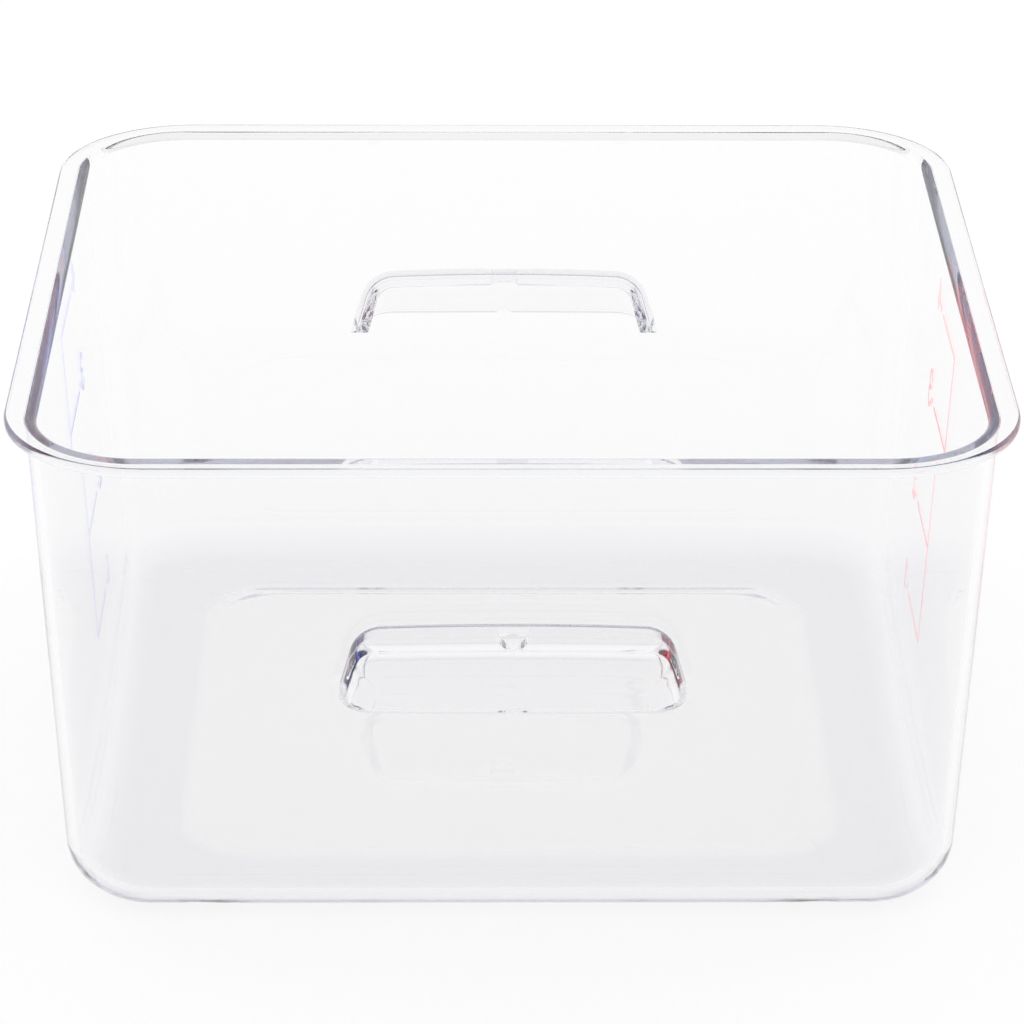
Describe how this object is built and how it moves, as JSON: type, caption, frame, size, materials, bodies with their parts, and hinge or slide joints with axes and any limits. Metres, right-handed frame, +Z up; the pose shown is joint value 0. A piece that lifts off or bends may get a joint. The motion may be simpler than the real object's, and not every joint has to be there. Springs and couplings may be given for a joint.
{
  "type": "food storage pan",
  "caption": "Clear square food pan: one moulded shell with flanged rim, round corners and two hooded finger grips, and a printed fill scale on each side wall.",
  "frame": {"origin": "middle of the underside, on the surface the pan stands on", "axes": "+Z up, out of the open top; +X towards the wall with the quart scale; the grips face +Y and -Y"},
  "size_m": [0.2222, 0.2276, 0.117],
  "materials": {
    "clear_polycarbonate": "polished clear moulding",
    "red_ink": "screen-printed ink",
    "blue_ink": "screen-printed ink"
  },
  "bodies": {
    "root": {"pan_body": "clear_polycarbonate", "quart_scale_stem": "red_ink", "quart_scale_lines": "red_ink", "quart_scale_dots": "red_ink", "quart_scale_numerals": "red_ink", "litre_scale_stem": "blue_ink", "litre_scale_lines": "blue_ink", "litre_scale_dots": "blue_ink", "litre_scale_numerals": "blue_ink"}
  },
  "joints": []
}
